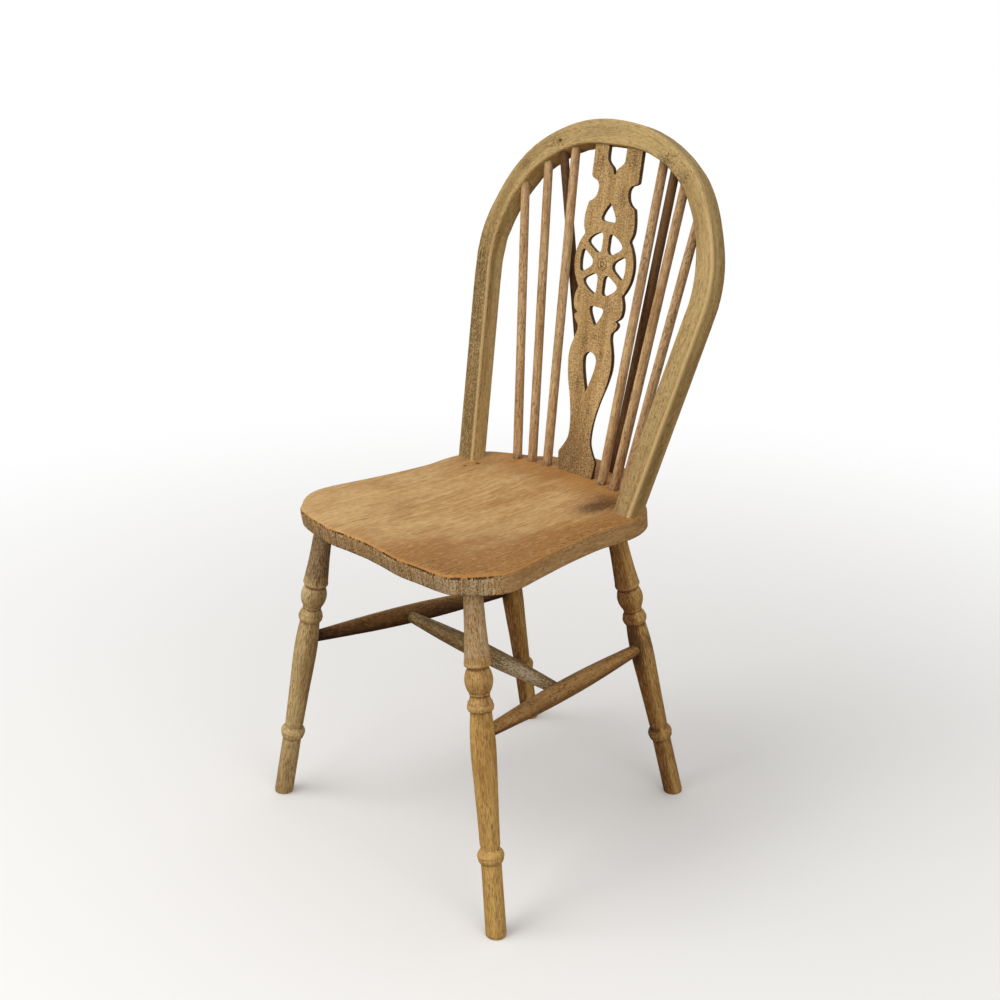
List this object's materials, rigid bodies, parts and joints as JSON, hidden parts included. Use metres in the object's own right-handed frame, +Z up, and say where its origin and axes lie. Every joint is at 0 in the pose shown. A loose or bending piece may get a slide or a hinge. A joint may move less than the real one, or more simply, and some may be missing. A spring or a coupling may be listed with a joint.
{
  "type": "stick-back chair",
  "caption": "Wooden stick-back chair with a bent hoop bow, a pierced wheel splat, a waisted seat and turned legs, its timber bare and weathered.",
  "frame": {"origin": "on the floor, under the middle of the whole chair's box", "axes": "+Z up; the chair faces -Y; +X is to the right of a viewer who faces the chair"},
  "size_m": [0.4626, 0.438, 0.892],
  "materials": {
    "seat_wood": "worn bare wood with rough end grain",
    "bow_wood": "weathered bare wood with fine grain",
    "splat_wood": "weathered bare wood with dark flecks",
    "stick_wood": "dull bare wood",
    "brace_wood": "dull bare wood, darkened",
    "leg_wood": "dry bare wood with pale residue",
    "stretcher_wood": "dull bare wood with pale residue"
  },
  "bodies": {
    "root": {"seat": "seat_wood", "bow": "bow_wood", "splat": "splat_wood", "stick_left_inner": "stick_wood", "stick_left_middle": "stick_wood", "stick_left_outer": "stick_wood", "stick_right_inner": "stick_wood", "stick_right_middle": "stick_wood", "stick_right_outer": "stick_wood", "brace_left": "brace_wood", "brace_right": "brace_wood", "leg_front_left": "leg_wood", "leg_front_right": "leg_wood", "leg_rear_left": "leg_wood", "leg_rear_right": "leg_wood", "stretcher_left": "stretcher_wood", "stretcher_right": "stretcher_wood", "stretcher_cross": "stretcher_wood"}
  },
  "joints": []
}
